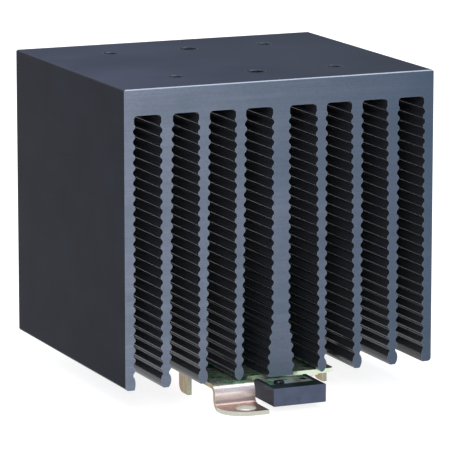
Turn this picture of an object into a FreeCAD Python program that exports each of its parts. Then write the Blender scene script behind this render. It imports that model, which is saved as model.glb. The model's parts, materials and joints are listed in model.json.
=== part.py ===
"""Finned heat sink for solid state relays, with a latching clip for a 35 mm rail.

The relays sit on the flat top. The fins point down and air rises along Y, between them.
A bent steel bracket under the fins hooks onto the rail, and a sprung latch locks it there.
Two bent feet, at opposite corners of the bracket, screw to a flat panel instead.

Millimetres. +Z is up, towards the relays; +Y is up when the rail is on a wall.
The origin is in the panel plane, midway between the two feet.
"""

import FreeCAD, Part
import math
import os

from FreeCAD import Vector

# Driving dimensions of the extrusion. Widths are at the slot roof, from the web outward,
# between the crests of the ribs.
SINK_WIDTH = 92.0
SINK_LENGTH = 82.0
SINK_HEIGHT = 82.3
BASE_THICKNESS = 7.2
WEB_WIDTH = 5.6
SLOT_WIDTHS = (7.4, 7.05, 7.0, 7.25)
FIN_WIDTHS = (3.6, 3.75, 4.0)
FIN_TAPER = 1.05
OUTER_FIN_TAPER = 0.2
RIB_PITCH = 2.775
RIB_DEPTH = 0.64
RIBS_PER_WALL = 25
FIRST_RIB_BELOW_BASE = 2.9
ROOF_CORNER_RADIUS = 1.0
FIN_TIP_RISE = 0.1
TIP_SHARE = 0.65
NARROW_TIP_SHARE = 0.3
OUTER_TIP_RADIUS = 1.0
WEB_FOOT_WIDTH = 8.3
WEB_FLARE_HEIGHT = 14.1
EDGE_CHAMFER = 0.4
END_CHAMFER = 0.25

# Tapped holes for the relays: two relays side by side, or one in the middle
RELAY_HOLE_SPACING = 47.6
OUTER_THREAD_RADIUS = 2.0
OUTER_THREAD_DEPTH = 6.2
MIDDLE_THREAD_RADIUS = 2.5
MIDDLE_THREAD_DEPTH = 10.0
HOLE_CHAMFER = 0.3

# Rail clip: the rail runs along X, its flange lies against the bracket's underside
CLIP_HEIGHT = 6.9
STEEL = 1.2
RAIL_WIDTH = 35.0
RAIL_FLANGE = 1.0
RAIL_CENTRE_Y = -1.5
RAIL_PLAY = 0.2
PLATE_HALF_WIDTH = 17.8
PLATE_HALF_LENGTH = 37.5
PLATE_CORNER_RADIUS = 1.5
TAB_OVERLAP = 3.0
NECK_OVERLAP = 7.0

FOOT_INNER_X = 9.2
FOOT_OUTER_X = 21.2
FOOT_WALL_Y = 43.8
FOOT_END_Y = 53.9
FOOT_CORNER_RADIUS = 7.0
FOOT_UPPER_BEND = 2.0
FOOT_LOWER_BEND = 2.5
FOOT_HOLE_RADIUS = 2.9
FOOT_HOLE = (14.2, 49.3)

TAB_LENGTH = 6.3
TAB_BOTTOM = 0.1
TAB_CORNER_RADIUS = 2.4
TAB_BEND_RADIUS = 1.2

HOOK_CENTRE_X = 12.0
HOOK_WIDTH = 8.0
HOOK_REACH = 2.2
HOOK_BEND_RADIUS = 0.9
HOOK_ROOT = 4.0
WINDOW_LENGTH = 6.3
WINDOW_SIDE_GAP = 0.4

# Sliding latch: a strip lies in the handle block, steps down to pass under the plate, and
# steps down again to the nose that grips the rail
LATCH_STEEL = 1.0
LATCH_BEND_RADIUS = 0.8
LATCH_GAP = 0.2
LATCH_GRIP = 2.0
LATCH_HOLE_CLEARANCE = 0.15
STRIP_HALF_WIDTH = 6.7
STRIP_SINK = 0.3
STEP_LENGTH = 2.0
NOSE_LENGTH = 3.6
NOSE_STEP_LENGTH = 1.2
NOSE_CHAMFER = 0.7
BLOCK_HALF_WIDTH = 7.85
BLOCK_FRONT_Y = -53.7
BLOCK_LENGTH = 13.2
BLOCK_BOTTOM = 1.7
BLOCK_TOP = 6.8
BLOCK_LIP = 4.8
BLOCK_EDGE_RADIUS = 0.3
DIMPLE_RADIUS = 1.4
DIMPLE_DEPTH = 0.25
DIMPLE_RISE = 1.6
LATCH_SCREW_AT = (-3.2, -46.8)
LATCH_SCREW_RADIUS = 1.0
LATCH_SCREW_LENGTH = 3.5
LATCH_SCREW_HEAD_RADIUS = 1.5
LATCH_SCREW_HEAD_HEIGHT = 0.8
DOWEL_AT = (5.0, -44.5)
DOWEL_RADIUS = 1.0
DOWEL_LENGTH = 3.3
DOWEL_STAND = 0.1

# Guide under the latch, and the spring between the guide's lug and the latch's lug
GUIDE_FRONT_Y = -35.0
GUIDE_LENGTH = 4.5
GUIDE_HALF_OPENING = 7.5
GUIDE_HALF_SPAN = 14.0
GUIDE_DEPTH = 1.5
GUIDE_BEND_RADIUS = 0.7
LUG_HALF_WIDTH = 2.4
LUG_ROOT = 3.0
LUG_BOTTOM = 0.4
LUG_CLEARANCE = 0.2
SPRING_LENGTH = 8.0
SPRING_Z = 1.75
SPRING_COIL_RADIUS = 1.1
SPRING_WIRE_RADIUS = 0.18
SPRING_TURNS = 8
SPRING_END_GAP = 0.05
ROD_RADIUS = 0.6
ROD_OVERHANG = 3.2
ROD_HEAD_RADIUS = 1.1
ROD_HEAD_THICKNESS = 0.5
RIVET_X = 11.4
RIVET_RADIUS = 1.25
RIVET_HEAD_RADIUS = 2.1
RIVET_HEAD_HEIGHT = 0.9

# Screws that hold the bracket to the centre web
BRACKET_SCREW_YS = (-6.0, 26.0)
BRACKET_SCREW_RADIUS = 2.0
BRACKET_SCREW_LENGTH = 8.0
BRACKET_SCREW_HEAD_RADIUS = 3.6
BRACKET_SCREW_HEAD_HEIGHT = 2.2
SCREW_HOLE_CLEARANCE = 0.2
SCREW_HOLE_SPARE = 0.5
WASHER_THICKNESS = 0.8
WASHER_RADIUS = 3.5
WASHER_SPLIT = 0.4

# Heights and places worked out from the dimensions above
SINK_TOP = CLIP_HEIGHT + SINK_HEIGHT
SLOT_ROOF = SINK_TOP - BASE_THICKNESS
FIN_TIP = CLIP_HEIGHT + FIN_TIP_RISE
HALF_WIDTH = SINK_WIDTH / 2
HALF_LENGTH = SINK_LENGTH / 2
PLATE_BOTTOM = CLIP_HEIGHT - STEEL
PLATE_MIDDLE = CLIP_HEIGHT - STEEL / 2
RAIL_FRONT_Y = RAIL_CENTRE_Y - RAIL_WIDTH / 2
RAIL_BACK_Y = RAIL_CENTRE_Y + RAIL_WIDTH / 2
HOOK_WALL_Y = RAIL_BACK_Y + RAIL_PLAY + STEEL / 2
STRIP_MIDDLE = PLATE_BOTTOM - LATCH_GAP - LATCH_STEEL / 2
NOSE_MIDDLE = STRIP_MIDDLE - RAIL_FLANGE
NOSE_Y = RAIL_FRONT_Y + LATCH_GRIP
BLOCK_BACK_Y = BLOCK_FRONT_Y + BLOCK_LENGTH
BLOCK_SEAT_TOP = BLOCK_TOP - STRIP_SINK
BLOCK_SEAT = BLOCK_SEAT_TOP - LATCH_STEEL
BLOCK_SEAT_FRONT_Y = BLOCK_FRONT_Y + BLOCK_LIP
GUIDE_FLANGE_MIDDLE = PLATE_BOTTOM - LATCH_STEEL / 2
GUIDE_SADDLE_MIDDLE = GUIDE_FLANGE_MIDDLE - GUIDE_DEPTH
GUIDE_LUG_Y = GUIDE_FRONT_Y + LATCH_STEEL
LATCH_LUG_Y = GUIDE_LUG_Y + SPRING_LENGTH
RIVET_Y = GUIDE_FRONT_Y + GUIDE_LENGTH / 2


# ---- shape helpers ----

def line(start, end):
    return Part.LineSegment(start, end).toShape()


def arc(start, middle, end):
    return Part.Arc(start, middle, end).toShape()


def cylinder(radius, height, x, y, z):
    return Part.makeCylinder(radius, height, Vector(x, y, z))


def block(x_range, y_range, z_range):
    """A box between two limits along each axis."""
    low, high = zip(x_range, y_range, z_range)
    size = [b - a for a, b in zip(low, high)]
    return Part.makeBox(*size, Vector(*low))


def half_turn(shape):
    """The same shape turned by 180 degrees about Z."""
    turned = shape.copy()
    turned.rotate(Vector(0, 0, 0), Vector(0, 0, 1), 180)
    return turned


def edges_along(shape, direction, near, reach=0.05):
    """Straight edges that run along a direction and pass through a point."""
    found = []
    for edge in shape.Edges:
        start, end = edge.Vertexes[0].Point, edge.Vertexes[-1].Point
        run = end - start
        if run.Length < 1e-6 or run.cross(direction).Length > 1e-6 * run.Length:
            continue
        off_axis = (start - near).cross(direction).Length
        if off_axis < reach:
            found.append(edge)
    return found


def along_y(radius, length, x, y, z):
    """A cylinder that starts at a point and runs along +Y."""
    return Part.makeCylinder(radius, length, Vector(x, y, z), Vector(0, 1, 0))


def bent_sheet(corners, thickness, bend_radii, in_plane):
    """A face showing sheet metal edge on: constant thickness, with a round bend at each corner.

    corners and bend_radii follow the middle of the sheet; in_plane turns a corner (u, v) into
    a Vector.
    """
    points = [Vector(u, v, 0) for u, v in corners]
    runs = [(b - a).normalize() for a, b in zip(points, points[1:])]
    lefts = [Vector(-run.y, run.x, 0) for run in runs]
    half = thickness / 2
    sides = []
    for side in (1, -1):
        outline = [[points[0] + lefts[0] * side * half]]
        for i, (corner, bend_radius) in enumerate(zip(points[1:-1], bend_radii)):
            turn = runs[i].getAngle(runs[i + 1])
            bend_sign = 1 if runs[i].cross(runs[i + 1]).z > 0 else -1
            tangent = bend_radius * math.tan(turn / 2)
            centre = corner - runs[i] * tangent + lefts[i] * bend_sign * bend_radius
            outward = (corner - centre).normalize()
            bend_in = corner - runs[i] * tangent + lefts[i] * side * half
            bend_out = corner + runs[i + 1] * tangent + lefts[i + 1] * side * half
            bend_middle = centre + outward * (bend_radius - bend_sign * side * half)
            outline[-1].append(bend_in)
            outline.append([bend_in, bend_middle, bend_out])
            outline.append([bend_out])
        outline[-1].append(points[-1] + lefts[-1] * side * half)
        sides.append(outline)
    edges = []
    for outline in sides:
        for piece in outline:
            placed = [in_plane(p.x, p.y) for p in piece]
            edges.append(arc(*placed) if len(placed) == 3 else line(*placed))
    left, right = sides
    for a, b in ((left[0][0], right[0][0]), (left[-1][-1], right[-1][-1])):
        edges.append(line(in_plane(a.x, a.y), in_plane(b.x, b.y)))
    return Part.Face(Part.Wire(Part.sortEdges(edges)[0]))


def sheet_along_x(corners, thickness, bend_radii, x_range):
    """Bent sheet whose corners are (y, z), as wide as x_range."""
    low, high = x_range
    face = bent_sheet(corners, thickness, bend_radii, lambda y, z: Vector(low, y, z))
    return face.extrude(Vector(high - low, 0, 0))


def sheet_along_y(corners, thickness, bend_radii, y_range):
    """Bent sheet whose corners are (x, z), as long as y_range."""
    low, high = y_range
    face = bent_sheet(corners, thickness, bend_radii, lambda x, z: Vector(x, low, z))
    return face.extrude(Vector(0, high - low, 0))


def cross_recess(x, y, z_top, span, width, depth):
    """Tapering cross-shaped tool for the driver recess of a screw whose head is up."""
    def rectangle(length, breadth, z):
        turns = ((-1, -1), (1, -1), (1, 1), (-1, 1), (-1, -1))
        return Part.makePolygon([Vector(u * length / 2, v * breadth / 2, z) for u, v in turns])

    arms = []
    for angle in (0, 90):
        upper = rectangle(span, width, 0)
        lower = rectangle(0.35 * span, 0.7 * width, -depth)
        arm = Part.makeLoft([upper, lower], True)
        arm.rotate(Vector(0, 0, 0), Vector(0, 0, 1), angle)
        arms.append(arm)
    recess = arms[0].fuse(arms[1])
    recess.translate(Vector(x, y, z_top))
    return recess


def pan_screw(radius, length, head_radius, head_height):
    """Pan-head screw along Z: head up, its underside at z = 0, with a cross recess."""
    shank_end = 0.4 * radius
    shank = Part.makeCylinder(radius, length - shank_end, Vector(0, 0, shank_end - length))
    point = Part.makeCone(0.7 * radius, radius, shank_end, Vector(0, 0, -length))
    head = Part.makeCylinder(head_radius, head_height)
    rim = [e for e in head.Edges if e.Curve.TypeId == "Part::GeomCircle" and e.CenterOfMass.z > 0]
    head = head.makeFillet(0.6 * head_height, rim)
    screw = head.fuse([shank, point]).removeSplitter()
    recess = cross_recess(0, 0, head_height, 1.25 * head_radius, 0.3 * head_radius, 0.7 * head_height)
    return screw.cut(recess)


# ---- the extrusion ----

def wall_x(root_x, drift, z):
    """Where the crests of a slot's wall are at a height, when they move by drift to the tip."""
    return root_x + drift * (SLOT_ROOF - z) / (SLOT_ROOF - FIN_TIP)


def web_x(z):
    """Half the width of the centre web, which flares towards its foot."""
    flare = max(0.0, 1.0 - (z - CLIP_HEIGHT) / WEB_FLARE_HEIGHT)
    return WEB_WIDTH / 2 + (WEB_FOOT_WIDTH - WEB_WIDTH) / 2 * math.sqrt(flare)


def ribbed_wall(x_at, metal, ribs):
    """Edges of one slot wall, from under the roof's corner down past a number of ribs.

    Round crests and grooves alternate. metal is the side the metal is on, +1 or -1 along X.
    Returns the edges and the wall's first and last points.
    """
    def point(z, depth):
        return Vector(x_at(z) + metal * depth, -HALF_LENGTH, z)

    half_pitch = RIB_PITCH / 2
    start = point(SLOT_ROOF - ROOF_CORNER_RADIUS, RIB_DEPTH / 2)
    last = point(SLOT_ROOF - FIRST_RIB_BELOW_BASE + half_pitch / 2, RIB_DEPTH / 2)
    edges = [line(start, last)]
    for i in range(2 * ribs):
        depth = 0 if i % 2 == 0 else RIB_DEPTH
        middle = point(last.z - half_pitch / 2, depth)
        end = point(last.z - half_pitch, RIB_DEPTH / 2)
        edges.append(arc(last, middle, end))
        last = end
    return edges, start, last


def slot_roof(wall_top, other_wall_top):
    """The flat roof of a slot, with its two round corners, between the tops of its walls."""
    bulge = ROOF_CORNER_RADIUS * (1 - math.sqrt(0.5))
    edges = []
    roof_ends = []
    for top, other in ((wall_top, other_wall_top), (other_wall_top, wall_top)):
        inward = 1 if other.x > top.x else -1
        middle = Vector(top.x + inward * bulge, top.y, SLOT_ROOF - bulge)
        roof_end = Vector(top.x + inward * ROOF_CORNER_RADIUS, top.y, SLOT_ROOF)
        edges.append(arc(top, middle, roof_end))
        roof_ends.append(roof_end)
    return edges + [line(*roof_ends)]


def fin_tip(one_side, other_side, share):
    """The last, longer rib of a fin, which narrows to a share of the fin's width."""
    centre_x = (one_side.x + other_side.x) / 2
    edges = []
    ends = []
    for wall_end in (one_side, other_side):
        reach = wall_end.x - centre_x
        crest = reach + math.copysign(RIB_DEPTH / 2, reach)
        middle = Vector(centre_x + crest, wall_end.y, (wall_end.z + FIN_TIP) / 2)
        end = Vector(centre_x + share * reach, wall_end.y, FIN_TIP)
        edges.append(arc(wall_end, middle, end))
        ends.append(end)
    return edges + [line(*ends)]


def outer_fin_end(inner, side):
    """The end of an outermost fin, from its inner wall round to the top of its flat outside."""
    y = -HALF_LENGTH
    radius = OUTER_TIP_RADIUS
    bulge = radius * (1 - math.sqrt(0.5))
    crest = Vector(inner.x - side * RIB_DEPTH / 2, y, (inner.z + FIN_TIP) / 2)
    inner_foot = Vector(inner.x, y, FIN_TIP)
    outer_foot = Vector(side * (HALF_WIDTH - radius), y, FIN_TIP)
    corner = Vector(side * (HALF_WIDTH - bulge), y, FIN_TIP + bulge)
    outer = Vector(side * HALF_WIDTH, y, FIN_TIP + radius)
    top = Vector(side * HALF_WIDTH, y, SINK_TOP - EDGE_CHAMFER)
    return [
        arc(inner, crest, inner_foot),
        line(inner_foot, outer_foot),
        arc(outer_foot, corner, outer),
        line(outer, top),
    ]


def half_outline(side):
    """Every edge of the end face on one side of the centre web, without the top.

    The wall of a slot nearer the web stands upright; its other wall leans outward.
    Returns the edges and the corner of the web's foot.
    """
    edges = []
    wall, near_top, web_end = ribbed_wall(lambda z: side * web_x(z), -side, RIBS_PER_WALL + 1)
    foot = Vector(web_end.x, web_end.y, CLIP_HEIGHT)
    edges += wall + [line(web_end, foot)]
    near_x = WEB_WIDTH / 2
    last_slot = len(SLOT_WIDTHS) - 1
    for slot, slot_width in enumerate(SLOT_WIDTHS):
        root_x = side * (near_x + slot_width)
        lean = side * (OUTER_FIN_TAPER if slot == last_slot else FIN_TAPER)
        wall, far_top, far_end = ribbed_wall(lambda z: wall_x(root_x, lean, z), side, RIBS_PER_WALL)
        edges += wall + slot_roof(near_top, far_top)
        if slot == last_slot:
            return edges + outer_fin_end(far_end, side), foot
        near_x += slot_width + FIN_WIDTHS[slot]
        wall, near_top, near_end = ribbed_wall(lambda z: side * near_x, -side, RIBS_PER_WALL)
        edges += wall + fin_tip(far_end, near_end, NARROW_TIP_SHARE if slot == 0 else TIP_SHARE)


def tapped_hole(x, y, radius, depth):
    """Tool for a tapped hole that opens in the relay face, with a small countersink."""
    hole = cylinder(radius, depth, x, y, SINK_TOP - depth)
    mouth_at = Vector(x, y, SINK_TOP - HOLE_CHAMFER)
    mouth = Part.makeCone(radius, radius + HOLE_CHAMFER, HOLE_CHAMFER, mouth_at)
    return hole.fuse(mouth)


def heat_sink_extrusion():
    """The finned extrusion, cut to length, with the relay holes and the bracket's screw holes."""
    right_edges, right_foot = half_outline(1)
    left_edges, left_foot = half_outline(-1)
    front_y = -HALF_LENGTH
    top = [
        Vector(-HALF_WIDTH, front_y, SINK_TOP - EDGE_CHAMFER),
        Vector(-HALF_WIDTH + EDGE_CHAMFER, front_y, SINK_TOP),
        Vector(HALF_WIDTH - EDGE_CHAMFER, front_y, SINK_TOP),
        Vector(HALF_WIDTH, front_y, SINK_TOP - EDGE_CHAMFER),
    ]
    top_edges = [line(a, b) for a, b in zip(top, top[1:])]
    edges = right_edges + left_edges + top_edges + [line(left_foot, right_foot)]
    end_face = Part.Face(Part.Wire(Part.sortEdges(edges)[0]))
    extrusion = end_face.extrude(Vector(0, SINK_LENGTH, 0))
    end_edges = []
    for y in (-HALF_LENGTH, HALF_LENGTH):
        end_edges += edges_along(extrusion, Vector(1, 0, 0), Vector(0, y, SINK_TOP))
    extrusion = extrusion.makeChamfer(END_CHAMFER, end_edges)
    half_spacing = RELAY_HOLE_SPACING / 2
    tools = []
    for y in (-half_spacing, half_spacing):
        tools.append(tapped_hole(0, y, MIDDLE_THREAD_RADIUS, MIDDLE_THREAD_DEPTH))
        for x in (-half_spacing, half_spacing):
            tools.append(tapped_hole(x, y, OUTER_THREAD_RADIUS, OUTER_THREAD_DEPTH))
    screw_depth = BRACKET_SCREW_LENGTH - WASHER_THICKNESS - STEEL + SCREW_HOLE_SPARE
    for y in BRACKET_SCREW_YS:
        tools.append(cylinder(BRACKET_SCREW_RADIUS, screw_depth, 0, y, CLIP_HEIGHT))
    return extrusion.cut(tools)


# ---- the bracket ----

def panel_foot():
    """The front left foot: neck, wall down to the panel, and the foot with its hole."""
    corners = [
        (-PLATE_HALF_LENGTH + NECK_OVERLAP, PLATE_MIDDLE),
        (-FOOT_WALL_Y, PLATE_MIDDLE),
        (-FOOT_WALL_Y, STEEL / 2),
        (-FOOT_END_Y, STEEL / 2),
    ]
    bends = (FOOT_UPPER_BEND, FOOT_LOWER_BEND)
    foot = sheet_along_x(corners, STEEL, bends, (-FOOT_OUTER_X, -FOOT_INNER_X))
    outer_corner = edges_along(foot, Vector(0, 0, 1), Vector(-FOOT_OUTER_X, -FOOT_END_Y, 0))
    foot = foot.makeFillet(FOOT_CORNER_RADIUS, outer_corner)
    hole_x, hole_y = FOOT_HOLE
    return foot.cut(cylinder(FOOT_HOLE_RADIUS, STEEL, -hole_x, -hole_y, 0))


def side_tab(side):
    """A tab bent down from the plate's side, against which the rail's front edge stops."""
    middle_x = FOOT_OUTER_X - STEEL / 2
    corners = [
        (side * (PLATE_HALF_WIDTH - TAB_OVERLAP), PLATE_MIDDLE),
        (side * middle_x, PLATE_MIDDLE),
        (side * middle_x, TAB_BOTTOM),
    ]
    back = RAIL_FRONT_Y - RAIL_PLAY
    tab = sheet_along_y(corners, STEEL, (TAB_BEND_RADIUS,), (back - TAB_LENGTH, back))
    lower_back = edges_along(tab, Vector(1, 0, 0), Vector(0, back, TAB_BOTTOM))
    return tab.makeFillet(TAB_CORNER_RADIUS, lower_back)


def rail_hook(x):
    """A hook bent out of the plate, that reaches under the rail's back flange."""
    tongue_z = PLATE_BOTTOM - RAIL_FLANGE - RAIL_PLAY - STEEL / 2
    corners = [
        (HOOK_WALL_Y + HOOK_ROOT, PLATE_MIDDLE),
        (HOOK_WALL_Y, PLATE_MIDDLE),
        (HOOK_WALL_Y, tongue_z),
        (RAIL_BACK_Y - HOOK_REACH, tongue_z),
    ]
    half = HOOK_WIDTH / 2
    return sheet_along_x(corners, STEEL, (HOOK_BEND_RADIUS, HOOK_BEND_RADIUS), (x - half, x + half))


def hook_window(x):
    """The opening that a hook's metal leaves in the plate, with slits beside its bend."""
    half = HOOK_WIDTH / 2 + WINDOW_SIDE_GAP
    back = HOOK_WALL_Y + HOOK_BEND_RADIUS
    return block((x - half, x + half), (back - WINDOW_LENGTH, back), (PLATE_BOTTOM, CLIP_HEIGHT))


def mounting_bracket():
    """Plate under the fins with two feet, two side tabs and two hooks, all bent from one sheet."""
    plate = block(
        (-PLATE_HALF_WIDTH, PLATE_HALF_WIDTH),
        (-PLATE_HALF_LENGTH, PLATE_HALF_LENGTH),
        (PLATE_BOTTOM, CLIP_HEIGHT),
    )
    free_corners = []
    for side in (1, -1):
        corner = Vector(side * PLATE_HALF_WIDTH, -side * PLATE_HALF_LENGTH, 0)
        free_corners += edges_along(plate, Vector(0, 0, 1), corner)
    plate = plate.makeFillet(PLATE_CORNER_RADIUS, free_corners)
    hook_xs = (-HOOK_CENTRE_X, HOOK_CENTRE_X)
    plate = plate.cut([hook_window(x) for x in hook_xs])
    foot = panel_foot()
    bent = [foot, half_turn(foot), side_tab(-1), side_tab(1)] + [rail_hook(x) for x in hook_xs]
    bracket = plate.fuse(bent).removeSplitter()
    neck_corners = []
    for side in (1, -1):
        corner = Vector(-side * FOOT_INNER_X, -side * PLATE_HALF_LENGTH, 0)
        neck_corners += edges_along(bracket, Vector(0, 0, 1), corner)
    bracket = bracket.makeFillet(PLATE_CORNER_RADIUS, neck_corners)
    hole_radius = BRACKET_SCREW_RADIUS + SCREW_HOLE_CLEARANCE
    tools = [cylinder(hole_radius, STEEL, 0, y, PLATE_BOTTOM) for y in BRACKET_SCREW_YS]
    for x in (-RIVET_X, RIVET_X):
        tools.append(cylinder(RIVET_RADIUS, STEEL, x, RIVET_Y, PLATE_BOTTOM))
    return bracket.cut(tools)


def bracket_screws():
    """Screws up through the bracket into the centre web, heads down."""
    screws = []
    for y in BRACKET_SCREW_YS:
        screw = pan_screw(
            BRACKET_SCREW_RADIUS,
            BRACKET_SCREW_LENGTH,
            BRACKET_SCREW_HEAD_RADIUS,
            BRACKET_SCREW_HEAD_HEIGHT,
        )
        screw.rotate(Vector(0, 0, 0), Vector(1, 0, 0), 180)
        screw.translate(Vector(0, y, PLATE_BOTTOM - WASHER_THICKNESS))
        screws.append(screw)
    return Part.makeCompound(screws)


def bracket_lock_washers():
    """Split spring washers between the screw heads and the bracket."""
    washers = []
    for y in BRACKET_SCREW_YS:
        z = PLATE_BOTTOM - WASHER_THICKNESS
        washer = cylinder(WASHER_RADIUS, WASHER_THICKNESS, 0, y, z)
        bore = cylinder(BRACKET_SCREW_RADIUS + SCREW_HOLE_CLEARANCE, WASHER_THICKNESS, 0, y, z)
        half_split = WASHER_SPLIT / 2
        split = block((0, WASHER_RADIUS), (y - half_split, y + half_split), (z, PLATE_BOTTOM))
        split.rotate(Vector(0, y, z), Vector(0, 0, 1), 35)
        washers.append(washer.cut([bore, split]))
    return Part.makeCompound(washers)


# ---- the latch ----

def lug(y, root_y, root_z):
    """A lug bent down from a flat part, whose front face is at y. root is where it starts."""
    middle = y + LATCH_STEEL / 2
    corners = [(root_y, root_z), (middle, root_z), (middle, LUG_BOTTOM)]
    across = (-LUG_HALF_WIDTH, LUG_HALF_WIDTH)
    return sheet_along_x(corners, LATCH_STEEL, (LATCH_BEND_RADIUS,), across)


def latch_strip():
    """Steel strip in the handle block, with a stepped-down nose that grips the rail."""
    seat_middle = BLOCK_SEAT + LATCH_STEEL / 2
    corners = [
        (BLOCK_SEAT_FRONT_Y, seat_middle),
        (BLOCK_BACK_Y + LATCH_STEEL / 2, seat_middle),
        (BLOCK_BACK_Y + STEP_LENGTH, STRIP_MIDDLE),
        (NOSE_Y - NOSE_LENGTH - NOSE_STEP_LENGTH, STRIP_MIDDLE),
        (NOSE_Y - NOSE_LENGTH, NOSE_MIDDLE),
        (NOSE_Y, NOSE_MIDDLE),
    ]
    across = (-STRIP_HALF_WIDTH, STRIP_HALF_WIDTH)
    strip = sheet_along_x(corners, LATCH_STEEL, 4 * (LATCH_BEND_RADIUS,), across)
    nose_edge = edges_along(strip, Vector(1, 0, 0), Vector(0, NOSE_Y, NOSE_MIDDLE - LATCH_STEEL / 2))
    strip = strip.makeChamfer(NOSE_CHAMFER, nose_edge)
    half_window = LUG_HALF_WIDTH + LUG_CLEARANCE
    window = block(
        (-half_window, half_window),
        (LATCH_LUG_Y, NOSE_Y - NOSE_LENGTH + NOSE_STEP_LENGTH),
        (0, CLIP_HEIGHT),
    )
    strip = strip.cut(window)
    strip = strip.fuse(lug(LATCH_LUG_Y, LATCH_LUG_Y - LUG_ROOT, STRIP_MIDDLE)).removeSplitter()
    screw_hole_radius = LATCH_SCREW_RADIUS + LATCH_HOLE_CLEARANCE
    rod_hole = along_y(ROD_RADIUS + LATCH_HOLE_CLEARANCE, LATCH_STEEL, 0, LATCH_LUG_Y, SPRING_Z)
    return strip.cut([
        cylinder(screw_hole_radius, LATCH_STEEL, *LATCH_SCREW_AT, BLOCK_SEAT),
        cylinder(DOWEL_RADIUS, LATCH_STEEL, *DOWEL_AT, BLOCK_SEAT),
        rod_hole,
    ])


def latch_block():
    """Handle block that a screwdriver or a finger pulls forward, with a bed for the strip."""
    body = block(
        (-BLOCK_HALF_WIDTH, BLOCK_HALF_WIDTH),
        (BLOCK_FRONT_Y, BLOCK_BACK_Y),
        (BLOCK_BOTTOM, BLOCK_TOP),
    )
    body = body.makeFillet(BLOCK_EDGE_RADIUS, body.Edges)
    bed = block(
        (-STRIP_HALF_WIDTH, STRIP_HALF_WIDTH),
        (BLOCK_SEAT_FRONT_Y, BLOCK_BACK_Y),
        (BLOCK_SEAT, BLOCK_TOP),
    )
    dimple_y = BLOCK_FRONT_Y + DIMPLE_DEPTH - DIMPLE_RADIUS
    dimple = Part.makeSphere(DIMPLE_RADIUS, Vector(0, dimple_y, BLOCK_BOTTOM + DIMPLE_RISE))
    screw_bottom = BLOCK_SEAT_TOP - LATCH_SCREW_LENGTH
    dowel_bottom = BLOCK_SEAT_TOP + DOWEL_STAND - DOWEL_LENGTH
    return body.cut([
        bed,
        cylinder(LATCH_SCREW_RADIUS, LATCH_SCREW_LENGTH, *LATCH_SCREW_AT, screw_bottom),
        cylinder(DOWEL_RADIUS, DOWEL_LENGTH, *DOWEL_AT, dowel_bottom),
        dimple,
    ])


def latch_screw():
    """Screw that holds the strip in the block."""
    screw = pan_screw(
        LATCH_SCREW_RADIUS,
        LATCH_SCREW_LENGTH,
        LATCH_SCREW_HEAD_RADIUS,
        LATCH_SCREW_HEAD_HEIGHT,
    )
    screw.translate(Vector(*LATCH_SCREW_AT, BLOCK_SEAT_TOP))
    return screw


def latch_dowel():
    """Pin beside the screw, so that the strip can't turn in the block."""
    bottom = BLOCK_SEAT_TOP + DOWEL_STAND - DOWEL_LENGTH
    dowel = cylinder(DOWEL_RADIUS, DOWEL_LENGTH, *DOWEL_AT, bottom)
    rims = [e for e in dowel.Edges if e.Curve.TypeId == "Part::GeomCircle"]
    return dowel.makeFillet(DOWEL_STAND, rims)


def latch_guide():
    """Saddle riveted under the bracket, which carries the strip; its lug holds the spring."""
    wall_middle = GUIDE_HALF_OPENING + LATCH_STEEL / 2
    corners = [
        (-GUIDE_HALF_SPAN, GUIDE_FLANGE_MIDDLE),
        (-wall_middle, GUIDE_FLANGE_MIDDLE),
        (-wall_middle, GUIDE_SADDLE_MIDDLE),
        (wall_middle, GUIDE_SADDLE_MIDDLE),
        (wall_middle, GUIDE_FLANGE_MIDDLE),
        (GUIDE_HALF_SPAN, GUIDE_FLANGE_MIDDLE),
    ]
    back = GUIDE_FRONT_Y + GUIDE_LENGTH
    saddle = sheet_along_y(corners, LATCH_STEEL, 4 * (GUIDE_BEND_RADIUS,), (GUIDE_FRONT_Y, back))
    notch = block(
        (-LUG_HALF_WIDTH, LUG_HALF_WIDTH),
        (GUIDE_FRONT_Y, GUIDE_FRONT_Y + LATCH_STEEL / 2 + LATCH_BEND_RADIUS),
        (LUG_BOTTOM, GUIDE_FLANGE_MIDDLE),
    )
    spring_lug = lug(GUIDE_FRONT_Y, back - LATCH_STEEL, GUIDE_SADDLE_MIDDLE)
    guide = saddle.cut(notch).fuse(spring_lug).removeSplitter()
    rivet_bottom = PLATE_BOTTOM - LATCH_STEEL
    tools = []
    for x in (-RIVET_X, RIVET_X):
        tools.append(cylinder(RIVET_RADIUS, LATCH_STEEL, x, RIVET_Y, rivet_bottom))
    tools.append(along_y(ROD_RADIUS, LATCH_STEEL, 0, GUIDE_FRONT_Y, SPRING_Z))
    return guide.cut(tools)


def guide_rivets():
    """Rivets through the guide's flanges, flush with the bracket's top."""
    rivets = []
    flange_bottom = PLATE_BOTTOM - LATCH_STEEL
    head_bottom = flange_bottom - RIVET_HEAD_HEIGHT
    for x in (-RIVET_X, RIVET_X):
        shank = cylinder(RIVET_RADIUS, STEEL + LATCH_STEEL, x, RIVET_Y, flange_bottom)
        head = cylinder(RIVET_HEAD_RADIUS, RIVET_HEAD_HEIGHT, x, RIVET_Y, head_bottom)
        circles = [e for e in head.Edges if e.Curve.TypeId == "Part::GeomCircle"]
        rim = [e for e in circles if e.CenterOfMass.z < flange_bottom - 0.1]
        head = head.makeFillet(0.8 * RIVET_HEAD_HEIGHT, rim)
        rivets.append(shank.fuse(head).removeSplitter())
    return Part.makeCompound(rivets)


def spring_rod():
    """Pin through the spring, fixed in the guide's lug and free in the latch's lug."""
    length = LATCH_STEEL + SPRING_LENGTH + ROD_OVERHANG
    rod = along_y(ROD_RADIUS, length, 0, GUIDE_FRONT_Y, SPRING_Z)
    head_y = GUIDE_FRONT_Y - ROD_HEAD_THICKNESS
    head = along_y(ROD_HEAD_RADIUS, ROD_HEAD_THICKNESS, 0, head_y, SPRING_Z)
    return rod.fuse(head).removeSplitter()


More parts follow.
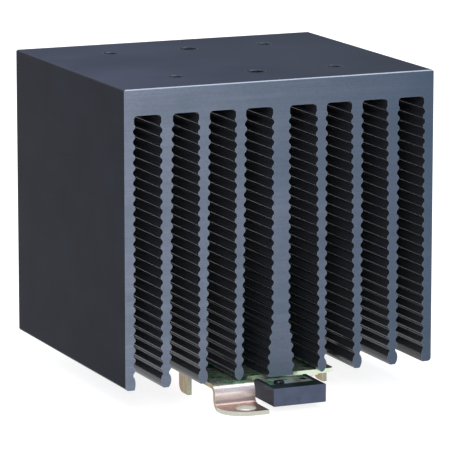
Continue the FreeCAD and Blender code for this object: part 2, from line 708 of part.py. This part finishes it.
def latch_spring():
    """Compression spring around the rod, between the two lugs."""
    clearance = SPRING_END_GAP + SPRING_WIRE_RADIUS
    coil_length = SPRING_LENGTH - 2 * clearance
    helix = Part.makeHelix(coil_length / SPRING_TURNS, coil_length, SPRING_COIL_RADIUS)
    wire_end = Part.makeCircle(SPRING_WIRE_RADIUS, Vector(SPRING_COIL_RADIUS, 0, 0), Vector(0, 1, 0))
    spring = Part.Wire(helix).makePipeShell([Part.Wire(wire_end)], True, True)
    spring.rotate(Vector(0, 0, 0), Vector(1, 0, 0), -90)
    spring.translate(Vector(0, GUIDE_LUG_Y + clearance, SPRING_Z))
    return spring


NODES = {
    "heat_sink_extrusion": heat_sink_extrusion,
    "mounting_bracket": mounting_bracket,
    "bracket_screws": bracket_screws,
    "bracket_lock_washers": bracket_lock_washers,
    "latch_strip": latch_strip,
    "latch_block": latch_block,
    "latch_screw": latch_screw,
    "latch_dowel": latch_dowel,
    "latch_guide": latch_guide,
    "guide_rivets": guide_rivets,
    "spring_rod": spring_rod,
    "latch_spring": latch_spring,
}


def main():
    os.makedirs("parts", exist_ok=True)
    for name, make in NODES.items():
        shape = make()
        volume = round(shape.Volume, 1)
        print(name, "solids", len(shape.Solids), "valid", shape.isValid(), "volume", volume)
        shape.exportStep(f"parts/{name}.step")


main()
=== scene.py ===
"""Looks for a finned relay heat sink with a rail clip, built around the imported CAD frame.

Everything is in metres, in the frame of the CAD model: +Z up, the fins run along Y and the
latch points to -Y. The CAD bodies stay as they are and get procedural materials. New pieces
are the threads in the relay holes and the latch spring with its closed ends.
"""

import json
import math

import bpy
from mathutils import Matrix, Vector


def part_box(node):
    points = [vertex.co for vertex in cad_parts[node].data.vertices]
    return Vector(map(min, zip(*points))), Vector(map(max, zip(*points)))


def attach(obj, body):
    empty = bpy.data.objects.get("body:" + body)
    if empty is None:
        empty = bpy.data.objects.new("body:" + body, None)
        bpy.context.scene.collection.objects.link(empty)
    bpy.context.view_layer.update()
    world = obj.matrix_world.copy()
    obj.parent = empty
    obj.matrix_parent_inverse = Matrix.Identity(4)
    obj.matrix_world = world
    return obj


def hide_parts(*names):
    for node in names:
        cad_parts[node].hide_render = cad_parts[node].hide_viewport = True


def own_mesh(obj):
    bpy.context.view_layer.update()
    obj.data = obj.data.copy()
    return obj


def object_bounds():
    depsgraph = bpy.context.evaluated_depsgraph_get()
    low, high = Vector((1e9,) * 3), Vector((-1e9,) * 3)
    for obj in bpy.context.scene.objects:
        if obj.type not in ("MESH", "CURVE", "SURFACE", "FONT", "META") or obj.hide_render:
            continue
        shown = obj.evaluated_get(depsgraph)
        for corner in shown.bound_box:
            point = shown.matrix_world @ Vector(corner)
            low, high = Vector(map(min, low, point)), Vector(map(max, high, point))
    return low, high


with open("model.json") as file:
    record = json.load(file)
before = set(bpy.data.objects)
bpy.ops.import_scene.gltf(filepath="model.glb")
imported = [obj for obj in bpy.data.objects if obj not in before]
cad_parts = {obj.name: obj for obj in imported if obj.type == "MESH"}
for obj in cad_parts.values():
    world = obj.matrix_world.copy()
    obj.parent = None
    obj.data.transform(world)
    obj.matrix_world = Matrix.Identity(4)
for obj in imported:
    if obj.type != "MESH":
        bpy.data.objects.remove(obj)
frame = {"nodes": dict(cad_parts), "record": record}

MM = 0.001
CAD_LOW, CAD_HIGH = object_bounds()

# Camera, aimed beside the middle of the model's box
CAMERA_AZIMUTH = math.radians(-23.58)
CAMERA_ELEVATION = math.radians(10.97)
CAMERA_DISTANCE = 1.0322
CAMERA_LENS = 294.5
AIM_OFFSET = Vector((-2.56, -8.52, -1.0)) * MM

# Tapped relay holes: pitch and length of each mount's threads
THREADS = {
    "relay_seat_outer_threads": (0.7 * MM, 5.6 * MM),
    "relay_seat_middle_threads": (0.8 * MM, 9.4 * MM),
}
THREAD_START = 0.45 * MM
THREAD_DEPTH = 0.36 * MM
THREAD_HALF_ROOT = 0.46  # of the pitch
THREAD_STEPS = 28

# Where finishes and painted light change over, from and to, in millimetres
OUTER_SIDE_X = (45.8, 45.95)
END_CHAMFER_Y = (40.5, 40.7)
PLATE_EDGE_Z = (5.5, 5.8)
FEET_Y = (45.0, 46.0)
FOOT_TOP_Z = (1.1, 1.2)
TABS_X = (19.5, 20.0)
TABS_END_Y = (30.0, 31.0)

# Studio
FLOOR_HALF = 6.0

# Latch spring
WIRE_RADIUS = 0.18 * MM
ACTIVE_TURNS = 7
CLOSED_TURNS = 1.25
WIRE_SIDES = 10
STEPS_PER_TURN = 32


# ---- shader helpers ----

class Shader:
    """A material under construction: each call adds a node and returns its output."""

    def __init__(self, name):
        self.material = bpy.data.materials.new(name)
        self.material.use_nodes = True
        self.nodes = self.material.node_tree.nodes
        self.links = self.material.node_tree.links
        self.surface = self.nodes["Principled BSDF"]

    def node(self, kind, inputs=(), **settings):
        made = self.nodes.new(kind)
        for name, value in settings.items():
            setattr(made, name, value)
        for key, value in dict(inputs).items():
            self.connect(value, made.inputs[key])
        return made

    def connect(self, value, socket):
        """Links an output to a socket, or sets the socket to a plain value."""
        if isinstance(value, bpy.types.NodeSocket):
            self.links.new(value, socket)
        else:
            socket.default_value = value

    def set(self, **values):
        """Sets or links sockets of the Principled shader, with _ for each space."""
        for name, value in values.items():
            self.connect(value, self.surface.inputs[name.replace("_", " ")])

    def millimetres(self, stretch=(1, 1, 1), turn=(0, 0, 0)):
        """The piece's own coordinates in millimetres, stretched along the axes."""
        place = self.node("ShaderNodeTexCoord").outputs["Object"]
        scale = [factor / MM for factor in stretch]
        mapped = self.node("ShaderNodeMapping", {"Vector": place, "Scale": scale, "Rotation": turn})
        return mapped.outputs["Vector"]

    def noise(self, scale, stretch=(1, 1, 1), detail=3.0, turn=(0, 0, 0)):
        """Noise with scale cycles per millimetre."""
        inputs = {"Vector": self.millimetres(stretch, turn), "Scale": scale, "Detail": detail}
        return self.node("ShaderNodeTexNoise", inputs).outputs["Fac"]

    def position(self, axis):
        """The place along one axis, in millimetres from the origin."""
        return self.node("ShaderNodeSeparateXYZ", {"Vector": self.millimetres()}).outputs[axis]

    def from_middle(self, axis):
        """The distance along one axis from the middle of the part, in millimetres."""
        return self.math("ABSOLUTE", self.position(axis))

    def normal_part(self, axis):
        """The size of the surface normal's part along one axis, from 0 to 1."""
        normal = self.node("ShaderNodeTexCoord").outputs["Normal"]
        parts = self.node("ShaderNodeSeparateXYZ", {"Vector": normal})
        return self.math("ABSOLUTE", parts.outputs[axis])

    def facing_up(self):
        """The surface normal's part along +Z, which is negative where the surface faces down."""
        normal = self.node("ShaderNodeTexCoord").outputs["Normal"]
        return self.node("ShaderNodeSeparateXYZ", {"Vector": normal}).outputs["Z"]

    def math(self, operation, first, second=0.0):
        inputs = {0: first, 1: second}
        return self.node("ShaderNodeMath", inputs, operation=operation).outputs["Value"]

    def both(self, first, *others):
        """The product of masks, which is 1 only where all of them are 1."""
        for other in others:
            first = self.math("MULTIPLY", first, other)
        return first

    def rescale(self, value, low, high, new_low=0.0, new_high=1.0):
        """Maps low..high to new_low..new_high, and clamps."""
        inputs = {
            "Value": value,
            "From Min": low,
            "From Max": high,
            "To Min": new_low,
            "To Max": new_high,
        }
        return self.node("ShaderNodeMapRange", inputs).outputs["Result"]

    def ramp(self, value, stops):
        """A colour ramp whose stops are (position, (r, g, b))."""
        ramp = self.node("ShaderNodeValToRGB", {"Fac": value})
        elements = ramp.color_ramp.elements
        while len(elements) < len(stops):
            elements.new(0.5)
        for element, (position, colour) in zip(elements, stops):
            element.position = position
            element.color = (*colour, 1.0)
        return ramp.outputs["Color"]

    def mix(self, share, first, second):
        """Mixes two colours."""
        mixer = self.nodes.new("ShaderNodeMix")
        mixer.data_type = "RGBA"
        sockets = (mixer.inputs[0], mixer.inputs[6], mixer.inputs[7])
        for socket, value in zip(sockets, (share, first, second)):
            is_colour = isinstance(value, tuple)
            self.connect((*value, 1.0) if is_colour else value, socket)
        return mixer.outputs[2]

    def mix_numbers(self, share, first, second):
        return self.node("ShaderNodeMix", {0: share, 2: first, 3: second}).outputs[0]

    def bump(self, height, distance, strength=1.0):
        """A bump whose height input of 1 stands distance metres proud."""
        inputs = {"Height": height, "Distance": distance, "Strength": strength}
        return self.node("ShaderNodeBump", inputs).outputs["Normal"]

    def edge_wear(self, radius):
        """1 on sharp edges and 0 on flat faces."""
        rounded = self.node("ShaderNodeBevel", {"Radius": radius}, samples=6).outputs["Normal"]
        flat = self.node("ShaderNodeNewGeometry").outputs["Normal"]
        same = self.node("ShaderNodeVectorMath", {0: rounded, 1: flat}, operation="DOT_PRODUCT")
        return self.rescale(same.outputs["Value"], 0.97, 0.75)


# ---- materials ----

def sawn_end_painted_light_colour(shader, cut_lines):
    """Sawn metal with cut lines, cloudy bands and a fine grain; its pale grey-blue tone is painted
    light.
    """
    cut_bands = shader.noise(0.35, stretch=(0.06, 1, 1.0), detail=2)
    cloud = shader.noise(0.06, stretch=(1, 1, 1.3), detail=3)
    colour = shader.ramp(cloud, [
        (0.35, (0.138, 0.166, 0.208)),
        (0.52, (0.162, 0.186, 0.236)),
        (0.70, (0.186, 0.196, 0.260)),
    ])
    line_share = shader.rescale(cut_lines, 0.3, 0.7, 0, 0.55)
    colour = shader.mix(line_share, colour, (0.085, 0.105, 0.140))
    band_share = shader.rescale(cut_bands, 0.5, 0.75, 0, 0.25)
    colour = shader.mix(band_share, colour, (0.20, 0.24, 0.29))
    grain_share = shader.rescale(shader.noise(1.3, detail=4), 0.4, 0.65, 0, 0.22)
    return shader.mix(grain_share, colour, (0.085, 0.095, 0.120))


def drawn_wall_colour(shader, die_lines, outside):
    """Near-black walls with lines from the die; the two flat outer sides are painted darker than
    the slot walls, as painted shade. outside is 1 on the two flat outer sides.
    """
    # The outer sides are painted darker than the slot walls: painted shade.
    painted_shade_wall_colour = shader.ramp(shader.noise(0.08, detail=3), [
        (0.3, (0.0075, 0.0090, 0.0140)),
        (0.7, (0.0105, 0.0125, 0.0190)),
    ])
    colour = shader.mix(outside, (0.022, 0.023, 0.028), painted_shade_wall_colour)
    line_share = shader.rescale(die_lines, 0.45, 0.75, 0, 0.12)
    return shader.mix(line_share, colour, (0.030, 0.033, 0.042))


def black_anodised():
    """Black extrusion: sawn ends, a satin top and drawn walls, with rubbed edges.

    The ends are painted paler than the top and the walls, the outer walls darker than the slot
    walls, and the ends and the top darker towards +X, which stands for uneven light: painted light
    and shade.
    """
    shader = Shader("black_anodised_aluminium")
    is_end = shader.rescale(shader.normal_part("Y"), 0.6, 0.9)
    is_top = shader.rescale(shader.normal_part("Z"), 0.93, 0.99)
    outside = shader.rescale(shader.from_middle("X"), *OUTER_SIDE_X)
    cut_lines = shader.noise(2.2, stretch=(0.03, 1, 3.0), detail=4, turn=(0, math.radians(1.5), 0))
    die_lines = shader.noise(1.6, stretch=(2.0, 0.012, 2.0), detail=4)

    darker = shader.rescale(shader.position("X"), -46, 46, 0, 0.74)
    end_colour = shader.mix(darker, sawn_end_painted_light_colour(shader, cut_lines), (0.020, 0.042, 0.072))
    top_colour = shader.ramp(shader.noise(0.03, detail=4), [
        (0.35, (0.015, 0.020, 0.038)),
        (0.65, (0.028, 0.034, 0.058)),
    ])
    top_colour = shader.mix(darker, top_colour, (0.002, 0.005, 0.012))
    colour = shader.mix(is_top, drawn_wall_colour(shader, die_lines, outside), top_colour)
    # The ends take a paler tone than the top and the walls: painted light.
    colour = shader.mix(is_end, colour, end_colour)

    rubbed = shader.rescale(die_lines, 0.35, 0.65, 0.2, 0.55)
    rubbed = shader.both(rubbed, shader.edge_wear(0.3 * MM))
    colour = shader.mix(rubbed, colour, (0.26, 0.29, 0.35))
    # The chamfers along the top's ends are painted pale: a painted highlight.
    slanting = shader.both(shader.normal_part("Y"), shader.normal_part("Z"))
    slanting = shader.rescale(slanting, 0.3, 0.45)
    painted_chamfer_highlight = shader.both(slanting, shader.rescale(shader.from_middle("Y"), *END_CHAMFER_Y))
    colour = shader.mix(painted_chamfer_highlight, colour, (0.36, 0.41, 0.47))

    matt = shader.math("MAXIMUM", outside, is_top)
    wall_gloss = shader.mix_numbers(matt, 0.19, 0.01)
    wall_roughness = shader.mix_numbers(matt, 0.15, 0.3)
    end_roughness = shader.rescale(cut_lines, 0.3, 0.7, 0.38, 0.52)
    height = shader.mix_numbers(is_end, shader.math("MULTIPLY", die_lines, 0.3), cut_lines)
    shader.set(
        Base_Color=colour,
        Roughness=shader.mix_numbers(is_end, wall_roughness, end_roughness),
        Specular_IOR_Level=shader.mix_numbers(is_end, wall_gloss, 0.2),
        Specular_Tint=(0.80, 0.88, 1.0, 1.0),
        Normal=shader.bump(height, 0.02 * MM, 0.5),
    )
    return shader.material


def film_colour(shader):
    """Film on the steel's faces: rose, brown low down, green facing up and tan at the sides.

    Painted by direction and height, which stands for what the bright film reflects.
    """
    film = shader.noise(0.16, stretch=(0.5, 1, 2.6), detail=4)
    rose = shader.ramp(film, [
        (0.30, (0.72, 0.55, 0.50)),
        (0.42, (0.90, 0.77, 0.73)),
        (0.50, (0.96, 0.86, 0.80)),
        (0.58, (0.93, 0.79, 0.76)),
        (0.70, (0.74, 0.59, 0.52)),
    ])
    green = shader.ramp(shader.noise(0.35, detail=3), [
        (0.36, (0.06, 0.36, 0.12)),
        (0.46, (0.40, 0.84, 0.40)),
        (0.54, (0.98, 1.00, 0.94)),
        (0.64, (0.52, 0.52, 0.50)),
    ])
    tan = shader.ramp(shader.noise(0.9, stretch=(1, 1.0, 0.15), detail=3), [
        (0.35, (0.28, 0.22, 0.12)),
        (0.60, (0.40, 0.31, 0.19)),
        (0.75, (0.48, 0.36, 0.27)),
    ])
    height = shader.position("Z")
    rose = shader.mix(shader.rescale(height, 2.2, 4.8, 0.9, 0), rose, (0.44, 0.31, 0.27))
    above_feet = shader.rescale(height, 1.6, 3.6)
    painted_reflection_up = shader.both(shader.rescale(shader.facing_up(), 0.75, 0.98), above_feet)
    colour = shader.mix(painted_reflection_up, rose, green)
    return shader.mix(shader.rescale(shader.normal_part("X"), 0.6, 0.95), colour, tan)


def cut_rims_and_painted_reflection(shader, colour):
    """Paler cut edges on the plate and the feet, and olive ones on the tabs, coloured by facing and
    place: partly the cut metal's own tone and partly painted reflection.
    """
    height = shader.position("Z")
    faces_along = shader.rescale(shader.normal_part("Y"), 0.90, 0.97)
    upright = shader.rescale(shader.normal_part("Z"), 0.2, 0.4, 1, 0)
    # The plate's rim is painted pale: partly the cut edge and partly painted reflection.
    plate_rim = shader.both(faces_along, shader.rescale(height, *PLATE_EDGE_Z))
    colour = shader.mix(plate_rim, colour, (0.66, 0.76, 0.58))
    on_feet = shader.rescale(shader.from_middle("Y"), *FEET_Y)
    foot_rim = shader.both(on_feet, shader.rescale(height, *FOOT_TOP_Z, 1, 0), upright)
    colour = shader.mix(foot_rim, colour, (0.52, 0.51, 0.44))
    on_tabs = shader.rescale(shader.from_middle("X"), *TABS_X)
    between_feet = shader.rescale(shader.from_middle("Y"), *TABS_END_Y, 1, 0)
    return shader.mix(shader.both(on_tabs, faces_along, between_feet), colour, (0.34, 0.37, 0.29))


def yellow_chromate():
    """Passivated zinc on steel, with cut rims, rolling lines, small spots and worn edges; the film
    and rim colours carry painted reflection.
    """
    shader = Shader("chromated_steel")
    colour = cut_rims_and_painted_reflection(shader, film_colour(shader))
    rolling = shader.noise(1.4, stretch=(0.05, 1, 2.5), detail=4)
    spots = shader.noise(3.0, detail=2)
    colour = shader.mix(shader.rescale(spots, 0.60, 0.74, 0, 0.45), colour, (0.34, 0.28, 0.29))
    worn = shader.math("MULTIPLY", shader.edge_wear(0.2 * MM), 0.8)
    colour = shader.mix(worn, colour, (0.72, 0.84, 0.64))
    shader.set(
        Base_Color=colour,
        Metallic=0.85,
        Roughness=shader.rescale(rolling, 0.3, 0.7, 0.24, 0.38),
        Normal=shader.bump(rolling, 0.02 * MM, 0.5),
    )
    return shader.material


def black_handle():
    """Blackened die-cast handle block with a fine matt grain; its top carries a painted reflection
    and its sides painted shade.
    """
    shader = Shader("black_handle")
    grain = shader.noise(5.0, detail=3)
    cloud = shader.noise(0.3, detail=3)
    colour = shader.ramp(cloud, [(0.3, (0.058, 0.070, 0.106)), (0.7, (0.076, 0.090, 0.136))])
    worn = shader.both(shader.edge_wear(0.25 * MM), shader.rescale(grain, 0.35, 0.6, 0.2, 0.8))
    colour = shader.mix(worn, colour, (0.14, 0.16, 0.20))
    # The top is painted near-black: a painted reflection.
    painted_reflection_up = shader.rescale(shader.normal_part("Z"), 0.8, 0.98)
    colour = shader.mix(painted_reflection_up, colour, (0.008, 0.014, 0.014))
    # The sides are painted darker: painted shade.
    painted_shade_on_sides = shader.rescale(shader.normal_part("X"), 0.7, 0.95)
    colour = shader.mix(painted_shade_on_sides, colour, (0.024, 0.026, 0.040))
    shader.set(
        Base_Color=colour,
        Roughness=shader.rescale(grain, 0.3, 0.7, 0.36, 0.50),
        Specular_IOR_Level=0.1,
        Normal=shader.bump(grain, 0.015 * MM, 0.5),
    )
    return shader.material


def plain_metal(name, dark, light, roughness, line_stretch=(1, 1, 1)):
    """Metal with fine lines or grain between two colours, and brighter worn edges."""
    shader = Shader(name)
    grain = shader.noise(3.0, stretch=line_stretch, detail=4)
    colour = shader.ramp(grain, [(0.3, dark), (0.7, light)])
    worn = tuple(min(1.0, 1.35 * part) for part in light)
    colour = shader.mix(shader.math("MULTIPLY", shader.edge_wear(0.12 * MM), 0.7), colour, worn)
    shader.set(
        Base_Color=colour,
        Metallic=1.0,
        Roughness=shader.rescale(grain, 0.3, 0.7, roughness - 0.06, roughness + 0.06),
        Normal=shader.bump(grain, 0.01 * MM, 0.5),
    )
    return shader.material


def pale_floor():
    """Matt white studio table, lit softly from inside, with a very faint fibre."""
    shader = Shader("pale_floor")
    fibre = shader.noise(0.6, detail=5)
    shader.set(
        Base_Color=shader.ramp(fibre, [(0.3, (0.34, 0.34, 0.34)), (0.7, (0.36, 0.36, 0.36))]),
        Emission_Color=(1.0, 1.0, 1.0, 1.0),
        Emission_Strength=0.85,
        Roughness=0.9,
        Specular_IOR_Level=0.1,
        Normal=shader.bump(fibre, 0.02 * MM, 0.1),
    )
    return shader.material


# ---- pieces made here ----

def new_mesh_piece(name, points, faces, material):
    mesh = bpy.data.meshes.new(name)
    mesh.from_pydata(points, [], faces)
    mesh.update()
    mesh.materials.append(material)
    mesh.shade_smooth()
    piece = bpy.data.objects.new(name, mesh)
    bpy.context.scene.collection.objects.link(piece)
    return piece


def swept_section(centres, sections):
    """Vertices and faces of closed sections swept through their centres, with capped ends."""
    sides = len(sections[0])
    points = [centre + offset for centre, section in zip(centres, sections) for offset in section]
    faces = []
    for i in range(len(centres) - 1):
        for j in range(sides):
            k = (j + 1) % sides
            faces.append((i * sides + j, i * sides + k, (i + 1) * sides + k, (i + 1) * sides + j))
    faces.append(tuple(reversed(range(sides))))
    last = (len(centres) - 1) * sides
    faces.append(tuple(last + j for j in range(sides)))
    return points, faces


def thread(x, y, top, bottom, radius, pitch):
    """Helical ridge of a tapped hole: a pointed section whose root sits on the bore."""
    steps = int((top - bottom) / pitch * THREAD_STEPS)
    centres = []
    sections = []
    for i in range(steps + 1):
        angle = 2 * math.pi * i / THREAD_STEPS
        height = top - pitch * i / THREAD_STEPS
        run_out = min(1.0, i / THREAD_STEPS * 2, (steps - i) / THREAD_STEPS * 2)
        outward = Vector((math.cos(angle), math.sin(angle), 0))
        rise = Vector((0, 0, THREAD_HALF_ROOT * pitch))
        centres.append(Vector((x, y, height)) + outward * radius)
        sections.append([rise, -rise, -outward * THREAD_DEPTH * max(run_out, 0.05)])
    return swept_section(centres, sections)


def hole_places(dims):
    """(x, y) of each hole of a bolt pattern about the origin."""
    half_x = dims.get("spacing_x_mm", 0.0) * MM / 2
    half_y = dims["spacing_y_mm"] * MM / 2
    return [(x, y) for x in sorted({-half_x, half_x}) for y in (-half_y, half_y)]


def relay_hole_threads(material):
    """The threads in the tapped holes of the relay seat, as one piece."""
    points = []
    faces = []
    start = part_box("heat_sink_extrusion")[1].z - THREAD_START
    for mount in frame["record"]["mounts"]:
        if mount["name"] not in THREADS:
            continue
        pitch, length = THREADS[mount["name"]]
        radius = mount["dims"]["hole_r_mm"] * MM
        for x, y in hole_places(mount["dims"]):
            ridge, ridge_faces = thread(x, y, start, start - length, radius, pitch)
            first = len(points)
            points += ridge
            faces += [tuple(first + i for i in face) for face in ridge_faces]
    piece = new_mesh_piece("relay_hole_thread_ridges", points, faces, material)
    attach(piece, "sink")
    return piece


def latch_spring(material):
    """Compression spring with closed ends, in the place of the plain CAD coil."""
    low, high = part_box("latch_spring")
    axis = (low + high) / 2
    coil_radius = (high.x - low.x) / 2 - WIRE_RADIUS
    start, end = low.y + WIRE_RADIUS, high.y - WIRE_RADIUS
    closed_rise = 2 * WIRE_RADIUS * CLOSED_TURNS
    turns = ACTIVE_TURNS + 2 * CLOSED_TURNS
    steps = int(turns * STEPS_PER_TURN)
    centres = []
    sections = []
    for i in range(steps + 1):
        turn = i / STEPS_PER_TURN
        angle = 2 * math.pi * turn
        if turn < CLOSED_TURNS:
            y = start + 2 * WIRE_RADIUS * turn
        elif turn > turns - CLOSED_TURNS:
            y = end - 2 * WIRE_RADIUS * (turns - turn)
        else:
            active_length = end - start - 2 * closed_rise
            y = start + closed_rise + active_length * (turn - CLOSED_TURNS) / ACTIVE_TURNS
        outward = Vector((math.cos(angle), 0, math.sin(angle)))
        centres.append(Vector((axis.x, y, axis.z)) + outward * coil_radius)
        around = [2 * math.pi * side / WIRE_SIDES for side in range(WIRE_SIDES)]
        sections.append([
            (outward * math.cos(a) + Vector((0, math.sin(a), 0))) * WIRE_RADIUS for a in around
        ])
    points, faces = swept_section(centres, sections)
    piece = new_mesh_piece("latch_spring_coil", points, faces, material)
    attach(piece, "sink")
    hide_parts("latch_spring")
    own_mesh(piece)
    return piece


# ---- dressing the CAD nodes ----

def dress(node, material):
    """Gives a CAD node its material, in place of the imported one."""
    for slot in frame["nodes"][node].material_slots:
        slot.material = material


def dress_all():
    anodised = black_anodised()
    chromate = yellow_chromate()
    handle = black_handle()
    zinc = plain_metal("zinc_screw", (0.50, 0.51, 0.53), (0.72, 0.73, 0.75), 0.28)
    dark = plain_metal("dark_screw", (0.02, 0.02, 0.025), (0.06, 0.06, 0.07), 0.26)
    steel = plain_metal("spring_steel", (0.34, 0.34, 0.36), (0.56, 0.57, 0.60), 0.26)
    # The thread ridges are painted near-black: painted shade inside the holes.
    painted_shade_thread = plain_metal("thread_painted_shade", (0.004, 0.005, 0.008), (0.02, 0.02, 0.03), 0.16)
    finishes = {
        "heat_sink_extrusion": anodised,
        "mounting_bracket": chromate,
        "latch_strip": chromate,
        "latch_guide": chromate,
        "latch_block": handle,
        "latch_screw": dark,
        "latch_dowel": dark,
        "bracket_screws": zinc,
        "bracket_lock_washers": zinc,
        "guide_rivets": zinc,
        "spring_rod": steel,
        "latch_spring": steel,
    }
    for node, material in finishes.items():
        dress(node, material)
    relay_hole_threads(painted_shade_thread)
    latch_spring(steel)


# ---- studio ----

def floor():
    half = FLOOR_HALF
    corners = [(-half, -half, 0), (half, -half, 0), (half, half, 0), (-half, half, 0)]
    plane = new_mesh_piece("studio_floor", corners, [(0, 1, 2, 3)], pale_floor())


def softbox(name, place, aim, size, power, colour=(1, 1, 1)):
    """A rectangular area light at place, facing aim. size is (width, height)."""
    light = bpy.data.lights.new(name, "AREA")
    light.shape = "RECTANGLE"
    light.size, light.size_y = size
    light.energy = power
    light.color = colour
    lamp = bpy.data.objects.new(name, light)
    lamp.location = place
    lamp.rotation_euler = (Vector(aim) - Vector(place)).to_track_quat("-Z", "Y").to_euler()
    bpy.context.scene.collection.objects.link(lamp)


def studio():
    middle = (CAD_LOW + CAD_HIGH) / 2
    softbox("overhead", (0.0, 0.3, 1.6), middle, (2.2, 2.2), 38)
    softbox("front_left", (-0.45, -0.75, 0.45), middle, (0.4, 0.4), 3.6)
    world = bpy.data.worlds.new("studio")
    world.use_nodes = True
    sky = world.node_tree.nodes["Background"]
    sky.inputs["Color"].default_value = (0.86, 0.93, 1.08, 1.0)
    sky.inputs["Strength"].default_value = 0.55
    bpy.context.scene.world = world
    bpy.context.scene.view_settings.view_transform = "Standard"


def camera():
    aim = (CAD_LOW + CAD_HIGH) / 2 + AIM_OFFSET
    back = Vector((
        math.sin(CAMERA_AZIMUTH) * math.cos(CAMERA_ELEVATION),
        -math.cos(CAMERA_AZIMUTH) * math.cos(CAMERA_ELEVATION),
        math.sin(CAMERA_ELEVATION),
    ))
    lens = bpy.data.cameras.new("camera")
    lens.lens = CAMERA_LENS
    lens.sensor_width = 36.0
    lens.clip_end = 50.0
    holder = bpy.data.objects.new("camera", lens)
    holder.location = aim + back * CAMERA_DISTANCE
    holder.rotation_euler = (-back).to_track_quat("-Z", "Y").to_euler()
    bpy.context.scene.collection.objects.link(holder)
    bpy.context.scene.camera = holder


dress_all()
floor()
studio()
camera()
